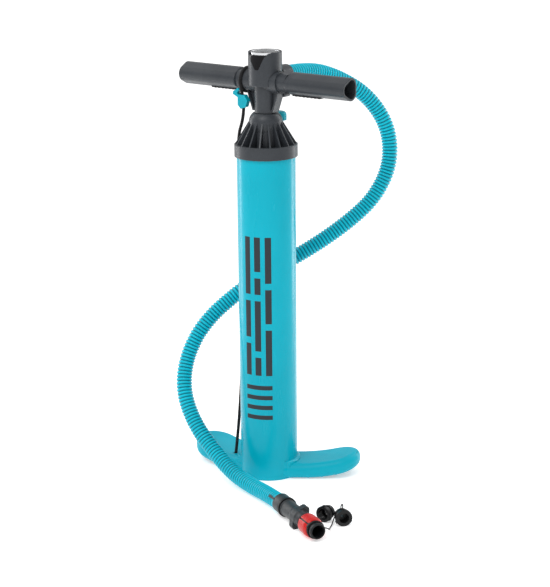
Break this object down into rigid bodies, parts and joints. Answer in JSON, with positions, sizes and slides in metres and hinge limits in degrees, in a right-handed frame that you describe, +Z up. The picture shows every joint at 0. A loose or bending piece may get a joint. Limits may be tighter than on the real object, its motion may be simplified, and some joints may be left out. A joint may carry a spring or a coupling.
{
  "type": "double action hand pump",
  "caption": "Upright double action floor pump: moulded barrel on a two-lobed foot, T-handle with a pressure gauge, corrugated hose, twist-lock nozzle and spare valve adaptors.",
  "frame": {"origin": "on the barrel's axis at the floor, at the middle of the intake plate's foot pad", "axes": "+Z up along the barrel and the piston rod, +X towards one foot lobe, +Y to the side where the lobes sweep back"},
  "size_m": [0.3578, 0.4827, 0.6703],
  "materials": {
    "teal_gloss": "glossy moulded teal plastic",
    "teal_hose": "semi-gloss ribbed teal hose",
    "graphite": "satin dark grey glass-filled plastic",
    "black_plastic": "satin black plastic",
    "window_black": "piano black",
    "red_ring": "glossy red plastic",
    "clear_lens": "clear domed lens",
    "bezel_chrome": "bright ring",
    "dial_dark": "matt dark dial",
    "needle_orange": "painted needle",
    "rod_aluminium": "anodised tube",
    "steel": "zinc plated steel",
    "seal_rubber": "black rubber",
    "bush_white": "natural acetal",
    "leash_black": "braided elastic cord"
  },
  "bodies": {
    "barrel": {"barrel_and_foot": "teal_gloss", "intake_grid": "graphite", "intake_seal": "seal_rubber", "intake_circlip": "steel", "flap_keeper": "graphite", "cap": "graphite", "cap_seal": "seal_rubber", "rod_bush": "bush_white", "rod_wiper": "seal_rubber", "cap_flap_keeper": "bush_white", "hose": "teal_hose", "hose_end_cuff": "graphite", "cuff_band": "black_plastic", "adaptor_wide": "black_plastic", "adaptor_narrow": "black_plastic", "adaptor_strap": "seal_rubber", "adaptor_tether": "leash_black", "leash_cord": "leash_black", "leash_knot": "leash_black"},
    "intake_flap": {"intake_flap": "seal_rubber"},
    "cap_flap": {"cap_flap": "seal_rubber"},
    "mode_knob": {"mode_knob": "teal_gloss"},
    "handle": {"piston_base": "graphite", "piston_body": "graphite", "piston_seals": "seal_rubber", "wear_band": "bush_white", "valve_clip": "steel", "piston_screws": "steel", "piston_pin": "steel", "piston_rod": "rod_aluminium", "handle_core": "graphite", "grip_left": "graphite", "grip_right": "graphite", "grip_insert_left": "black_plastic", "grip_insert_right": "black_plastic", "gauge_housing": "graphite", "window_panel": "window_black", "gauge_case": "black_plastic", "gauge_dial": "dial_dark", "needle_pin": "steel", "gauge_lens": "clear_lens", "gauge_bezel": "bezel_chrome", "hose_head_cuff": "graphite", "leash_loop": "leash_black", "leash_hook": "teal_gloss"},
    "lower_valve": {"lower_valve": "seal_rubber"},
    "upper_valve": {"upper_valve": "seal_rubber"},
    "gauge_needle": {"gauge_needle": "needle_orange"},
    "nozzle": {"nozzle_body": "graphite", "nozzle_seal": "seal_rubber", "nozzle_tip": "black_plastic"},
    "lock_ring": {"lock_ring": "red_ring"}
  },
  "joints": [
    {"name": "handle_slide", "type": "slide", "parent": "barrel", "child": "handle", "axis": [0, 0, 1], "range_m": [0, 0.43], "deforming": ["hose", "leash_cord"]},
    {"name": "intake_flap_lift", "type": "slide", "parent": "barrel", "child": "intake_flap", "axis": [0, 0, 1], "range_m": [0, 0.0015]},
    {"name": "cap_flap_drop", "type": "slide", "parent": "barrel", "child": "cap_flap", "axis": [0, 0, -1], "range_m": [0, 0.0015], "stiffness_N_per_m": 400},
    {"name": "mode_knob_turn", "type": "hinge", "parent": "barrel", "child": "mode_knob", "pos_m": [0.00634, 0.03594, 0.557], "axis": [0, 0, 1], "range_deg": [0, 90]},
    {"name": "lower_valve_lift", "type": "slide", "parent": "handle", "child": "lower_valve", "axis": [0, 0, 1], "range_m": [0, 0.0015]},
    {"name": "upper_valve_drop", "type": "slide", "parent": "handle", "child": "upper_valve", "axis": [0, 0, -1], "range_m": [0, 0.0015], "stiffness_N_per_m": 400},
    {"name": "gauge_needle_sweep", "type": "hinge", "parent": "handle", "child": "gauge_needle", "pos_m": [0, 0, 0.659], "axis": [0, 0, -1], "range_deg": [0, 270]},
    {"name": "nozzle_swivel", "type": "hinge", "parent": "barrel", "child": "nozzle", "pos_m": [0.084, -0.162, 0.016], "axis": [0.7145, -0.6997, 0], "range_deg": [-90, 0]},
    {"name": "lock_ring_twist", "type": "hinge", "parent": "nozzle", "child": "lock_ring", "pos_m": [0.1746, -0.25072, 0.016], "axis": [0.7145, -0.6997, 0], "range_deg": [0, 30]}
  ]
}
